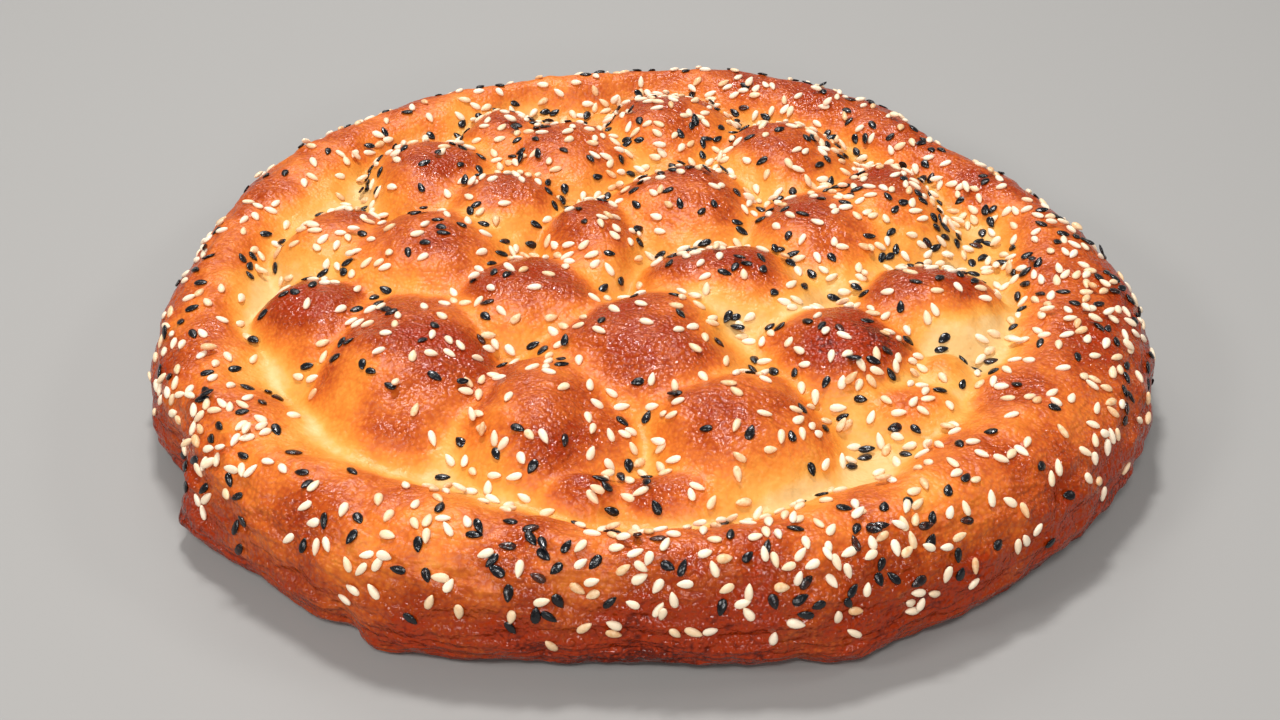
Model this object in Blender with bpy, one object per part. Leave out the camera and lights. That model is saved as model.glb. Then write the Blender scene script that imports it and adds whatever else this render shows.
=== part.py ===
"""A round pressed flatbread: a rolled rim, finger-pressed pillows inside it, and sesame seeds on top.

Run it with: blender --background --python part.py
Sizes are metres and +Z is up. The origin is on the table under the middle of the bread, and -Y is its
front. Headings are degrees counter-clockwise from +X, seen from above.
"""

import math

import bmesh
import bpy
import numpy as np
from mathutils import Matrix, Vector

# The loaf as a whole
WALL_RADIUS = 0.1245  # out to the widest part of the wall, before the swells below
RIM_TOP = 0.0285  # height of the rim's crown
PILLOW_TOP = 0.034  # height of a common pillow
FLOOR = 0.021  # height of the pressed dough between the pillows and along the ring

# The rim
PRESSED_RING = 0.096  # radius of the ring pressed round the pillows
CROWN_PLACE = 0.48  # where the crown lies between the pressed ring and the wall
BULGE = 0.011  # height at which the wall is widest
FOOT_INSET = 0.006  # how far the wall draws in from there to the table
SHOULDER_POWER = 0.9  # under 1 the shoulder is fuller than an ellipse
UNDERCUT_ANGLE = 1.2  # radians of the wall's turn below its widest part

# Unevenness round the bread, each as (heading, half width in degrees, change in metres)
WALL_SWELLS = (
    (28, 4, 0.0015),
    (37, 17, -0.0105),
    (52, 4.5, 0.005),
    (68, 10, 0.0035),
    (102, 12, -0.0068),
    (148, 10, 0.0010),
    (172, 13, -0.0032),
    (222, 16, 0.0006),
    (246, 8, 0.0025),
    (267, 13, -0.0062),
    (297, 5, -0.0008),
    (346, 20, 0.0035),
)
RING_SWELLS = (
    (45, 18, -0.004),
    (100, 24, 0.005),
    (205, 16, 0.0025),
    (247, 20, -0.0025),
    (267, 6, 0.003),
    (332, 20, -0.008),
)
CROWN_SWELLS = ((85, 25, 0.0010), (185, 30, -0.0010), (255, 14, 0.0010), (315, 24, 0.0015))

# Lumps low on the wall: heading and half width in degrees, how far out, height and half height in metres
WALL_LUMPS = (
    (209, 2.6, -0.0055, 0.011, 0.007),  # the pinch where the roll folds over a lobe of its own foot
    (217, 4.4, 0.0045, 0.005, 0.006),  # that lobe
    (240, 1.8, -0.0025, 0.004, 0.006),  # a dent beside a small flap of the foot
    (243.5, 2.0, 0.0020, 0.0015, 0.003),  # that flap
    (286, 2.0, -0.0025, 0.001, 0.004),  # a dent under the front of the wall
    (290, 2.8, 0.0030, 0.003, 0.005),  # a swelling of the foot beside it
)

# The pillows, row by row from the front: x, y, half length along x, along y, height above a common one
PILLOWS = (
    (-0.014, -0.088, 0.016, 0.008, -0.007),
    (0.009, -0.086, 0.024, 0.011, -0.007),
    (-0.023, -0.063, 0.023, 0.026, 0.0),
    (0.020, -0.065, 0.023, 0.025, 0.0),
    (0.060, -0.057, 0.021, 0.015, -0.0055),
    (0.070, -0.045, 0.013, 0.014, -0.0055),
    (-0.055, -0.042, 0.024, 0.033, 0.001),
    (0.001, -0.036, 0.027, 0.028, 0.001),
    (0.046, -0.037, 0.021, 0.025, 0.0),
    (-0.0785, -0.0225, 0.017, 0.0245, -0.0015),
    (-0.029, -0.015, 0.023, 0.025, 0.0),
    (0.020, -0.010, 0.025, 0.025, 0.001),
    (0.069, -0.016, 0.022, 0.021, -0.0005),
    (-0.057, 0.007, 0.025, 0.027, 0.001),
    (-0.013, 0.013, 0.015, 0.027, 0.0),
    (0.046, 0.017, 0.025, 0.030, 0.0),
    (-0.081, 0.017, 0.014, 0.024, -0.0025),
    (-0.038, 0.032, 0.019, 0.023, 0.0),
    (0.010, 0.033, 0.023, 0.025, 0.0),
    (0.065, 0.031, 0.019, 0.030, -0.0005),
    (-0.058, 0.048, 0.020, 0.022, 0.0),
    (-0.023, 0.059, 0.022, 0.026, 0.0),
    (0.038, 0.059, 0.022, 0.024, 0.0),
    (-0.040, 0.071, 0.017, 0.024, -0.0015),
    (0.007, 0.076, 0.022, 0.027, 0.0),
)
PILLOW_DROP = 0.0115  # how far a pillow falls at its half lengths
PILLOW_POWER = 2.3  # over 2 a pillow is flatter on top and steeper at its edge
CREASE = 0.0016  # how softly two pillows, or a pillow and the rim, run together

# How finely the crust is faceted: rings from the middle of the top to the foot
RINGS = 27
CROWN_SHARE = 0.74  # share of those rings that lie inside the rim's crown

# Sesame
SEEDS = 140
SEED_LENGTH = 0.0034
SEED_WIDTH = 0.0021
SEED_THICKNESS = 0.0012
SEED_SUNK = 0.38  # share of a seed's thickness that is below the crust
SEED_SIDES = 5
SEED_BANDS = 3
SEED_TAPER = 0.45  # how much narrower the pointed half is
SEEDED_SHARE = 0.90  # how far down the top and shoulder the seeds reach, as a share of the way to the foot
GOLDEN_TURN = math.pi * (3 - math.sqrt(5))
FRAME_STEP = 0.004  # how far on each side of a seed, in radians and in way, the crust's slope is taken
DRAW = 20

CRUST_COLOUR = (0.50, 0.13, 0.025, 1.0)
CRUST_ROUGHNESS = 0.32


def clear_scene():
    """Removes what the new file holds."""
    for thing in list(bpy.data.objects):
        bpy.data.objects.remove(thing, do_unlink=True)


def swell(heading, items):
    """The sum of soft local changes at these headings, which are radians."""
    total = np.zeros_like(heading)
    for middle, half_width, change in items:
        away = (np.degrees(heading) - middle + 180) % 360 - 180
        total += change * np.exp(-0.5 * (away / half_width) ** 2)
    return total


def wall_radius(heading):
    return WALL_RADIUS + swell(heading, WALL_SWELLS)


def ring_radius(heading):
    return PRESSED_RING + swell(heading, RING_SWELLS)


def crown_radius(heading):
    ring = ring_radius(heading)
    return ring + CROWN_PLACE * (wall_radius(heading) - ring)


def top_height(x, y):
    """Height of the dough inside the rim's crown: the rim's inner slope, the pillows and the floor between
    them are each a smooth shape, and the highest one shows, with a soft crease where two meet."""
    heading = np.arctan2(y, x)
    radius = np.hypot(x, y)
    crown = crown_radius(heading)
    crown_top = RIM_TOP + swell(heading, CROWN_SWELLS)
    down_slope = np.clip((crown - radius) / (crown - ring_radius(heading)), 0, None)
    shapes = [np.full_like(x, FLOOR), crown_top - (crown_top - FLOOR) * down_slope**2]
    for middle_x, middle_y, half_x, half_y, extra in PILLOWS:
        top = PILLOW_TOP + extra
        away = np.hypot((x - middle_x) / half_x, (y - middle_y) / half_y)
        shapes.append(top - PILLOW_DROP * away**PILLOW_POWER)
    highest = np.max(shapes, axis=0)
    overlap = sum(np.exp((shape - highest) / CREASE) for shape in shapes)
    return highest + CREASE * np.log(overlap)


def crust(heading, way):
    """Points of the crust. way runs from 0 in the middle of the top, over the rim's crown, to 1 at the foot."""
    crown = crown_radius(heading)
    wall = wall_radius(heading)
    radius = crown * np.minimum(way / CROWN_SHARE, 1)
    height = top_height(radius * np.cos(heading), radius * np.sin(heading))
    past_crown = np.clip((way - CROWN_SHARE) / (1 - CROWN_SHARE), 0, 1)
    turn = math.pi / 2 - past_crown * (math.pi / 2 + UNDERCUT_ANGLE)
    up = np.clip(turn, 0, None)
    down = np.clip(-turn, 0, None)
    shoulder = (wall - crown) * np.cos(up) ** SHOULDER_POWER
    undercut = FOOT_INSET * (1 - np.cos(down)) / (1 - math.cos(UNDERCUT_ANGLE))
    wall_height = BULGE + (height - BULGE) * np.sin(up) - BULGE * np.sin(down) / math.sin(UNDERCUT_ANGLE)
    outside = past_crown > 0
    radius = np.where(outside, crown + shoulder - undercut, radius)
    height = np.where(outside, wall_height, height)
    for middle, half_width, reach, level, half_height in WALL_LUMPS:
        here = np.exp(-0.5 * ((height - level) / half_height) ** 2)
        radius = radius + np.where(outside, here * swell(heading, ((middle, half_width, reach),)), 0)
    return np.stack([radius * np.cos(heading), radius * np.sin(heading), height], axis=-1)


def crust_frame(heading, way):
    """A point of the crust with the directions down the way and out of the crust."""
    points = crust(
        np.array([heading, heading, heading, heading - FRAME_STEP, heading + FRAME_STEP]),
        np.array([way, way - FRAME_STEP, way + FRAME_STEP, way, way]),
    )
    down_way = Vector(points[2] - points[1]).normalized()
    round_way = Vector(points[4] - points[3]).normalized()
    return Vector(points[0]), down_way, down_way.cross(round_way).normalized()


def mesh_object(name, points, faces, material):
    mesh = bpy.data.meshes.new(name)
    mesh.from_pydata([tuple(point) for point in points], [], faces)
    mesh.materials.append(material)
    thing = bpy.data.objects.new(name, mesh)
    bpy.context.scene.collection.objects.link(thing)
    return thing


def ring_start(ring):
    """The index of a ring's first point: ring 0 is the one point in the middle, and ring k has 6k points."""
    return 1 + 3 * ring * (ring - 1)


def disc_faces(rings):
    """Triangles between rings 0 to rings, each a sixth of the way round at a time."""
    faces = []
    for ring in range(1, rings + 1):
        outer_count = 6 * ring
        inner_count = max(6 * (ring - 1), 1)
        outer = ring_start(ring)
        inner = ring_start(ring - 1) if ring > 1 else 0
        for sixth in range(6):
            for step in range(ring):
                a = sixth * ring + step
                b = sixth * (ring - 1) + step
                near = inner + b % inner_count
                faces.append((near, outer + a, outer + (a + 1) % outer_count))
                if step < ring - 1:
                    faces.append((near, outer + (a + 1) % outer_count, inner + (b + 1) % inner_count))
    return faces


def make_crust(material):
    """The whole loaf as one closed shape: the crust, and the flat underside inside its foot."""
    headings = [np.zeros(1)]
    ways = [np.zeros(1)]
    for ring in range(1, RINGS + 1):
        count = 6 * ring
        headings.append(np.arange(count) * 2 * math.pi / count)
        ways.append(np.full(count, ring / RINGS))
    points = crust(np.concatenate(headings), np.concatenate(ways))
    foot = ring_start(RINGS)
    points[foot:, 2] = 0.0
    faces = disc_faces(RINGS)
    faces.append(tuple(range(len(points) - 1, foot - 1, -1)))
    return mesh_object("flatbread", points, faces, material)


def seed_shape():
    """One sesame seed as points and faces: round at -X, pointed at +X, lying flat."""
    points = [(-SEED_LENGTH / 2, 0, 0)]
    for band in range(1, SEED_BANDS + 1):
        along = -math.cos(math.pi * band / (SEED_BANDS + 1))
        girth = math.sqrt(1 - along**2) * (1 - SEED_TAPER * max(along, 0))
        for side in range(SEED_SIDES):
            turn = 2 * math.pi * side / SEED_SIDES
            y = girth * SEED_WIDTH / 2 * math.cos(turn)
            z = girth * SEED_THICKNESS / 2 * math.sin(turn)
            points.append((along * SEED_LENGTH / 2, y, z))
    points.append((SEED_LENGTH / 2, 0, 0))
    last = len(points) - 1
    faces = []
    for side in range(SEED_SIDES):
        after = (side + 1) % SEED_SIDES
        faces.append((0, 1 + after, 1 + side))
        faces.append((last, last - SEED_SIDES + side, last - SEED_SIDES + after))
        for band in range(SEED_BANDS - 1):
            row = 1 + band * SEED_SIDES
            corners = (row + side, row + after, row + SEED_SIDES + after, row + SEED_SIDES + side)
            faces.append(corners[:3])
            faces.append((corners[0], corners[2], corners[3]))
    return points, faces


def strew_seeds(material):
    """Seeds spread evenly by the golden turn, each turned at random in the plane of the crust."""
    draw = np.random.default_rng(DRAW)
    group = bpy.data.collections.new("seeds")
    points, faces = seed_shape()
    for number in range(SEEDS):
        way = SEEDED_SHARE * math.sqrt((number + 0.5) / SEEDS)
        place, along, out = crust_frame(number * GOLDEN_TURN, way)
        along = Matrix.Rotation(draw.uniform(0, 2 * math.pi), 3, out) @ along
        turn = Matrix((along, out.cross(along), out)).transposed()
        middle = place + out * SEED_THICKNESS * (0.5 - SEED_SUNK)
        seed = mesh_object(f"seed_{number}", points, faces, material)
        seed.matrix_world = Matrix.Translation(middle) @ turn.to_4x4()
        bpy.context.scene.collection.objects.unlink(seed)
        group.objects.link(seed)
    return group


def fuse(body, group):
    """Joins the seeds to the bread by one Boolean union and removes the loose ones."""
    bpy.context.scene.collection.children.link(group)
    union = body.modifiers.new("fuse_seeds", "BOOLEAN")
    union.operation = "UNION"
    union.operand_type = "COLLECTION"
    union.collection = group
    union.solver = "MANIFOLD"
    bpy.context.view_layer.update()
    fused = bpy.data.meshes.new_from_object(body.evaluated_get(bpy.context.evaluated_depsgraph_get()))
    body.modifiers.remove(union)
    body.data = fused
    for seed in list(group.objects):
        bpy.data.objects.remove(seed, do_unlink=True)
    bpy.data.collections.remove(group)


def drop_scraps(body):
    """Keeps the largest shell: a seed that missed the crust, or a hollow sealed under one, goes."""
    shape = bmesh.new()
    shape.from_mesh(body.data)
    shells = []
    unseen = set(shape.verts)
    while unseen:
        start = unseen.pop()
        shell = {start}
        waiting = [start]
        while waiting:
            for edge in waiting.pop().link_edges:
                for point in edge.verts:
                    if point in unseen:
                        unseen.remove(point)
                        shell.add(point)
                        waiting.append(point)
        shells.append(shell)
    shells.sort(key=len)
    for shell in shells[:-1]:
        bmesh.ops.delete(shape, geom=list(shell), context="VERTS")
    shape.to_mesh(body.data)
    shape.free()


def centre_on_origin(body):
    """Moves the bread so that the middle of its underside's box is the origin."""
    points = np.array([point.co for point in body.data.vertices])
    middle = (points.min(axis=0) + points.max(axis=0)) / 2
    body.data.transform(Matrix.Translation((-middle[0], -middle[1], 0)))
    return middle


def crust_material():
    material = bpy.data.materials.new("baked_crust")
    material.use_nodes = True
    shader = material.node_tree.nodes["Principled BSDF"]
    shader.inputs["Base Color"].default_value = CRUST_COLOUR
    shader.inputs["Roughness"].default_value = CRUST_ROUGHNESS
    shader.inputs["Metallic"].default_value = 0.0
    return material


def main():
    clear_scene()
    material = crust_material()
    bread = make_crust(material)
    fuse(bread, strew_seeds(material))
    drop_scraps(bread)
    middle = centre_on_origin(bread)
    bread.data.shade_smooth()
    sides = np.ptp(np.array([point.co for point in bread.data.vertices]), axis=0)
    print("bread", " x ".join(f"{side * 1000:.1f}" for side in sides), "mm, moved by", middle[:2] * -1000)


main()
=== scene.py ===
# %% [markdown]
# # A pressed flatbread with white and black sesame
# The real thing is a round loaf about 25 cm across. A soft rolled rim runs round it, and inside the rim the
# baker's fingertips pressed a net of grooves, so that the dough between them rose as pillows. It was washed
# with egg, strewn with sesame and baked until the pillow tops and the wall turned red-brown and the grooves
# stayed golden. This file dresses the plain solid of that loaf: a fine crust first, then its relief, its
# browning and glaze, and last the seeds.

# %% Load the plain solid as the frame
import math
from collections import namedtuple

import bpy
import numpy as np
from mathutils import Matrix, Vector


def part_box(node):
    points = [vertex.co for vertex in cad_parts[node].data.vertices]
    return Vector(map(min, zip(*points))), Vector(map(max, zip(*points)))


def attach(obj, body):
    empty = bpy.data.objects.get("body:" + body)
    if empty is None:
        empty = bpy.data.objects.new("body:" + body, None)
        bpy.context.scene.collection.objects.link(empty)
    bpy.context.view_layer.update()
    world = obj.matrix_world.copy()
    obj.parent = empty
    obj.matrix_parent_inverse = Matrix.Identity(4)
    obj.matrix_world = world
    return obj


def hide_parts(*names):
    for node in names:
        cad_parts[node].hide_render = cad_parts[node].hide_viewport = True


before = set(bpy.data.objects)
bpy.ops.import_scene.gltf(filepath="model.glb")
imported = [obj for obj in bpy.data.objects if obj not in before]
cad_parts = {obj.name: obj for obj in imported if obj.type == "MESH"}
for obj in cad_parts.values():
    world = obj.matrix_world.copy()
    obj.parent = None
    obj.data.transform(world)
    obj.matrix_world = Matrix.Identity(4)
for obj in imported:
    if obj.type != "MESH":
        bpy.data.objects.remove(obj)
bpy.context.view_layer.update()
bread_low, bread_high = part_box("flatbread")
print("solid bread, mm:", [round(side * 1000, 1) for side in bread_high - bread_low])

# %% [markdown]
# ## The camera
# The photograph looks down on the loaf from its front at about 35 degrees, from close by, so that the front
# rim looks much larger than the far one. A camera is placed best by what the photographer did: a lens, a
# distance and a height. The aim is given as a point on the table, and a Track To quaternion turns the
# camera there, so no angle has to be typed.

# %% Place the camera
LENS_MM = 50
SENSOR_MM = 36
NEAREST = 0.01  # the camera shows nothing nearer than this
CAMERA_PLACE = Vector((-0.0023, -0.3860, 0.2650))
AIM = Vector((-0.0033, -0.0030, 0.0))


def show(thing):
    bpy.context.scene.collection.objects.link(thing)
    return thing


def turn_towards(thing, place, aim):
    thing.location = place
    thing.rotation_euler = (aim - place).to_track_quat("-Z", "Y").to_euler()


camera = show(bpy.data.objects.new("camera", bpy.data.cameras.new("camera")))
camera.data.lens = LENS_MM
camera.data.sensor_width = SENSOR_MM
camera.data.clip_start = NEAREST
turn_towards(camera, CAMERA_PLACE, AIM)
bpy.context.scene.camera = camera
camera_tilt = math.degrees(math.asin((CAMERA_PLACE - AIM).normalized().z))
print("camera looks down", round(camera_tilt, 1), "degrees")

# %% [markdown]
# ## Light and floor
# Washed crust shows what light it stands in. Small bright softboxes draw crisp glints on its crinkles,
# where one broad light would only lay a grey haze over them. The one overhead shapes the pillows, a broader
# one behind gives the rim's crown its satin sheen, and those in front and at the sides keep the wall
# readable. The sky is weak and the floor plain and pale.

# %% Softboxes, sky and floor
# Name, place, width, depth, power in watts. All are aimed at the table under the loaf's middle.
SOFTBOXES = (
    ("overhead", (-0.08, 0.36, 1.02), 0.20, 0.13, 8.6),
    ("back", (-0.26, 1.00, 0.98), 0.80, 0.45, 4.4),
    ("front", (-0.08, -0.80, 0.95), 0.25, 0.17, 6.0),
    ("low", (0.12, -0.92, 0.40), 0.22, 0.10, 1.9),
    ("left", (-0.75, -0.45, 0.65), 0.25, 0.17, 3.2),
    ("right", (0.90, 0.05, 0.75), 0.25, 0.17, 1.8),
)
SKY_STRENGTH = 0.18
FLOOR_COLOUR = (0.31, 0.30, 0.286)
FLOOR_ROUGHNESS = 0.8
FLOOR_SIDE = 12.0


def add_softbox(name, place, width, depth, power):
    box = bpy.data.lights.new(name, "AREA")
    box.shape = "RECTANGLE"
    box.size = width
    box.size_y = depth
    box.energy = power
    turn_towards(show(bpy.data.objects.new(name, box)), Vector(place), Vector())


def add_sky(strength):
    world = bpy.data.worlds.new("studio")
    world.use_nodes = True
    background = world.node_tree.nodes["Background"].inputs
    background["Color"].default_value = (1.0, 1.0, 1.0, 1.0)
    background["Strength"].default_value = strength
    bpy.context.scene.world = world


def new_material(name):
    """A material with its node tree and its shader's inputs."""
    material = bpy.data.materials.new(name)
    material.use_nodes = True
    return material, material.node_tree, material.node_tree.nodes["Principled BSDF"].inputs


def add_floor(side, colour, roughness):
    half = side / 2
    corners = [(-half, -half, 0), (half, -half, 0), (half, half, 0), (-half, half, 0)]
    mesh = bpy.data.meshes.new("floor")
    mesh.from_pydata(corners, [], [(0, 1, 2, 3)])
    matt, _, finish = new_material("pale_floor")
    finish["Base Color"].default_value = (*colour, 1.0)
    finish["Roughness"].default_value = roughness
    mesh.materials.append(matt)
    show(bpy.data.objects.new("floor", mesh))


for softbox in SOFTBOXES:
    add_softbox(*softbox)
add_sky(SKY_STRENGTH)
add_floor(FLOOR_SIDE, FLOOR_COLOUR, FLOOR_ROUGHNESS)
bpy.context.scene.view_settings.view_transform = "Standard"

# %% [markdown]
# ## The form of the loaf
# The loaf is drawn from the same few sizes as its plain solid, so that the fine crust keeps the solid's
# form. Seen from above, a point has a heading round the loaf and a distance from its middle. Three curves
# over the heading say where the dough was pressed, where the rim is highest and where its wall ends, and
# each has soft swells, because a hand-rolled rim is never even. Sizes are metres, headings are degrees.

# %% Sizes of the loaf
WALL_RADIUS = 0.1245
RIM_TOP = 0.0285
PILLOW_TOP = 0.034
FLOOR = 0.021  # height of the dough where it was pressed
PRESSED_RING = 0.096
CROWN_PLACE = 0.48  # where the rim is highest, from the pressed ring, 0, to the wall, 1
BULGE = 0.011  # height at which the wall reaches furthest out
FOOT_INSET = 0.006
SHOULDER_POWER = 0.9  # below 1 the shoulder is fuller than a quarter round
UNDERCUT_ANGLE = 1.2  # how far past upright, in radians, the wall turns in

# heading, half width in degrees, change
WALL_SWELLS = (
    (28, 4, 0.0015),
    (37, 17, -0.0105),
    (52, 4.5, 0.005),
    (68, 10, 0.0035),
    (102, 12, -0.0068),
    (148, 10, 0.0010),
    (172, 13, -0.0032),
    (222, 16, 0.0006),
    (246, 8, 0.0025),
    (267, 13, -0.0062),
    (297, 5, -0.0008),
    (346, 20, 0.0035),
)
RING_SWELLS = (
    (45, 18, -0.004),
    (100, 24, 0.005),
    (205, 16, 0.0025),
    (247, 20, -0.0025),
    (267, 6, 0.003),
    (332, 20, -0.008),
)
CROWN_SWELLS = ((85, 25, 0.0010), (185, 30, -0.0010), (255, 14, 0.0010), (315, 24, 0.0015))
# heading and half width in degrees, how far out, height, half height
WALL_LUMPS = (
    (209, 2.6, -0.0055, 0.011, 0.007),  # the pinch where the roll folds over a lobe of its own foot
    (217, 4.4, 0.0045, 0.005, 0.006),  # that lobe
    (240, 1.8, -0.0025, 0.004, 0.006),  # a dent beside a small flap of the foot
    (243.5, 2.0, 0.0020, 0.0015, 0.003),  # that flap
    (286, 2.0, -0.0025, 0.001, 0.004),  # a dent under the front of the wall
    (290, 2.8, 0.0030, 0.003, 0.005),  # a swelling of the foot beside it
)
# Small blisters of the skin on the wall, in the same way
BLISTERS = (
    (252, 0.6, 0.0006, 0.009, 0.0010),
    (259, 0.7, 0.0008, 0.006, 0.0011),
    (280, 0.7, 0.0007, 0.016, 0.0011),
    (288, 0.8, 0.0009, 0.004, 0.0012),
    (301, 0.6, 0.0006, 0.010, 0.0010),
    (228, 0.6, 0.0006, 0.011, 0.0010),
)


def hump(value, middle, half):
    """1 where the value is the middle one, falling off softly over this half width."""
    return np.exp(-0.5 * ((value - middle) / half) ** 2)


def swell(heading, items):
    """The sum of soft local changes at these headings, which are radians."""
    total = np.zeros_like(heading)
    for middle, half_width, change in items:
        away = (np.degrees(heading) - middle + 180) % 360 - 180
        total += change * hump(away, 0, half_width)
    return total


def wall_radius(heading):
    return WALL_RADIUS + swell(heading, WALL_SWELLS)


def ring_radius(heading):
    return PRESSED_RING + swell(heading, RING_SWELLS)


def crown_radius(heading):
    ring = ring_radius(heading)
    return ring + CROWN_PLACE * (wall_radius(heading) - ring)


# %% [markdown]
# ## The pillows
# Each pillow is a soft cap: highest in its middle, falling ever more steeply to its edge. The surface
# shows whichever cap is highest, and a soft maximum rounds the crease where two meet. How brown a pillow
# baked is kept beside its size, because the tallest ones caught the most heat.

# %% Heights inside the rim
# x, y, half length along x, along y, height above a common one, how brown it baked, how far down it did
PILLOWS = (
    (-0.014, -0.088, 0.016, 0.008, -0.007, 0.52, 1.6),
    (0.009, -0.086, 0.024, 0.011, -0.007, 0.57, 1.6),
    (-0.023, -0.063, 0.023, 0.026, 0.0, 0.55, 1.45),
    (0.020, -0.065, 0.023, 0.025, 0.0, 0.52, 1.45),
    (0.060, -0.057, 0.021, 0.015, -0.0055, 0.46, 1.05),
    (0.070, -0.045, 0.013, 0.014, -0.0055, 0.58, 1.05),
    (-0.055, -0.042, 0.024, 0.033, 0.001, 0.59, 1.75),
    (0.001, -0.036, 0.027, 0.028, 0.001, 0.72, 1.15),
    (0.046, -0.037, 0.021, 0.025, 0.0, 0.86, 1.15),
    (-0.0785, -0.0225, 0.017, 0.0245, -0.0015, 0.72, 1.25),
    (-0.029, -0.015, 0.023, 0.025, 0.0, 0.7, 1.1),
    (0.020, -0.010, 0.025, 0.025, 0.001, 0.76, 1.0),
    (0.069, -0.016, 0.022, 0.021, -0.0005, 0.75, 1.1),
    (-0.057, 0.007, 0.025, 0.027, 0.001, 0.65, 1.05),
    (-0.013, 0.013, 0.015, 0.027, 0.0, 0.7, 1.05),
    (0.046, 0.017, 0.025, 0.030, 0.0, 0.69, 1.05),
    (-0.081, 0.017, 0.014, 0.024, -0.0025, 0.52, 1.0),
    (-0.038, 0.032, 0.019, 0.023, 0.0, 0.64, 1.05),
    (0.010, 0.033, 0.023, 0.025, 0.0, 0.66, 1.1),
    (0.065, 0.031, 0.019, 0.030, -0.0005, 0.6, 1.05),
    (-0.058, 0.048, 0.020, 0.022, 0.0, 0.57, 1.1),
    (-0.023, 0.059, 0.022, 0.026, 0.0, 0.64, 1.05),
    (0.038, 0.059, 0.022, 0.024, 0.0, 0.62, 1.05),
    (-0.040, 0.071, 0.017, 0.024, -0.0015, 0.58, 1.05),
    (0.007, 0.076, 0.022, 0.027, 0.0, 0.70, 1.05),
)
PILLOW_DROP = 0.0115  # how far a pillow falls at its half lengths
PILLOW_POWER = 2.3
CREASE = 0.0016
# Browning runs from 0, pale dough, to 1, the darkest crust. The deeper it was pressed, the paler it stayed.
PRESSED_SHARES = (0.0, 0.25, 0.4, 0.6, 0.8, 1.0)
PRESSED_BAKES = (0.42, 0.34, 0.28, 0.21, 0.14, 0.07)
CROWN_BAKE = 0.50
CROWN_FADE = 0.4  # below 1, the crown's browning reaches far down towards the groove
BROWNED_FADE = 0.75  # over how much of its half lengths a pillow's browning fades into the groove
BROWNED_BACK = 0.22  # how far behind a pillow's middle, in half lengths, its browning lies
TOP_BAKE = 0.06  # how much browner the very top of a pillow is
TOP_SHARE = 0.32  # how wide that top is, as a share of its half lengths
CREASE_PALE = 0.65  # how much of the browning the crease between two pillows loses
RING_HALF = 0.008  # half width of the band in which the ring's own browning counts
# Browning round the ring and round the crown: heading, half width in degrees, change
RING_BAKES = (
    (90, 50, 0.16),
    (188, 12, -0.11),
    (226, 16, -0.06),
    (280, 10, -0.06),
    (307, 12, -0.06),
    (352, 18, -0.04),
)
CROWN_BAKES = (
    (52, 15, 0.19),
    (130, 24, -0.04),
    (0, 25, 0.13),
    (180, 20, 0.05),
    (262, 16, -0.02),
    (318, 16, 0.05),
)


def top_of(x, y):
    """Height and browning of the dough inside the rim's crown, and how much a point lies in a crease."""
    heading = np.arctan2(y, x)
    radius = np.hypot(x, y)
    crown = crown_radius(heading)
    crown_top = RIM_TOP + swell(heading, CROWN_SWELLS)
    down_slope = np.clip((crown - radius) / (crown - ring_radius(heading)), 0, None)
    shapes = [np.full_like(x, FLOOR), crown_top - (crown_top - FLOOR) * down_slope**2]
    browned = [np.zeros_like(x), np.clip(1 - down_slope, 0, 1) ** CROWN_FADE]
    browns = [np.zeros_like(x), CROWN_BAKE + swell(heading, CROWN_BAKES)]
    for middle_x, middle_y, half_x, half_y, extra, brown, span in PILLOWS:
        top = PILLOW_TOP + extra
        away = np.hypot((x - middle_x) / half_x, (y - middle_y) / half_y)
        shapes.append(top - PILLOW_DROP * away**PILLOW_POWER)
        from_brown = np.hypot((x - middle_x) / half_x, (y - middle_y) / half_y - BROWNED_BACK)
        fade = np.clip((span - from_brown) / BROWNED_FADE, 0, 1)
        browned.append(fade * fade * (3 - 2 * fade))
        browns.append(brown + TOP_BAKE * hump(from_brown, 0, TOP_SHARE))
    shapes = np.array(shapes)
    highest = shapes.max(axis=0)
    share = np.exp((shapes - highest) / CREASE)
    total = share.sum(axis=0)
    height = highest + CREASE * np.log(total)
    pressed = np.clip((PILLOW_TOP - height) / (PILLOW_TOP - FLOOR), 0, 1)
    in_ring = hump(radius, ring_radius(heading), RING_HALF)
    pale = np.interp(pressed, PRESSED_SHARES, PRESSED_BAKES) + in_ring * swell(heading, RING_BAKES)
    bake = pale
    for share_of_one, cover, brown in zip(share / total, browned, browns):
        bake = bake + share_of_one * cover * (brown - bake)
    crease = np.clip(2 - 2 / total, 0, 1)  # total is 1 on one cap alone and 2 where two meet
    return height, bake + crease * CREASE_PALE * (pale - bake), crease


tallest = max(PILLOW_TOP + pillow[4] for pillow in PILLOWS)
print(len(PILLOWS), "pillows, the tallest", round(tallest * 1000, 1), "mm high")

# %% [markdown]
# ## Hand-made unevenness
# A form worked out from sums looks moulded. Real dough wanders: its pillows lean and its grooves waver. A
# few waves in random directions, added up, give a smooth wandering value at any point, with no seam and
# with a fixed draw. It shifts the places at which the pillows are looked up by a millimetre or two.

# %% A smooth random value at any point
DRAW = 31
WAVES = 24
WAVE_SPREAD = (0.7, 1.4)  # how much faster or slower than common a wave may be
WANDER = 0.0013  # how far a pillow's edge strays from its ellipse
WANDER_SPACING = 0.034


def wandering(points, spacing, number):
    """A smooth value round 0, mostly between -2 and 2, whose humps lie about one spacing apart."""
    draw = np.random.default_rng(DRAW + number)
    ways = draw.normal(size=(WAVES, 3))
    lengths = np.linalg.norm(ways, axis=1, keepdims=True)
    ways *= math.tau / spacing * draw.uniform(*WAVE_SPREAD, (WAVES, 1)) / lengths
    phases = draw.uniform(0, math.tau, WAVES)
    return np.cos(points @ ways.T + phases).sum(axis=1) * math.sqrt(2 / WAVES)


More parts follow.
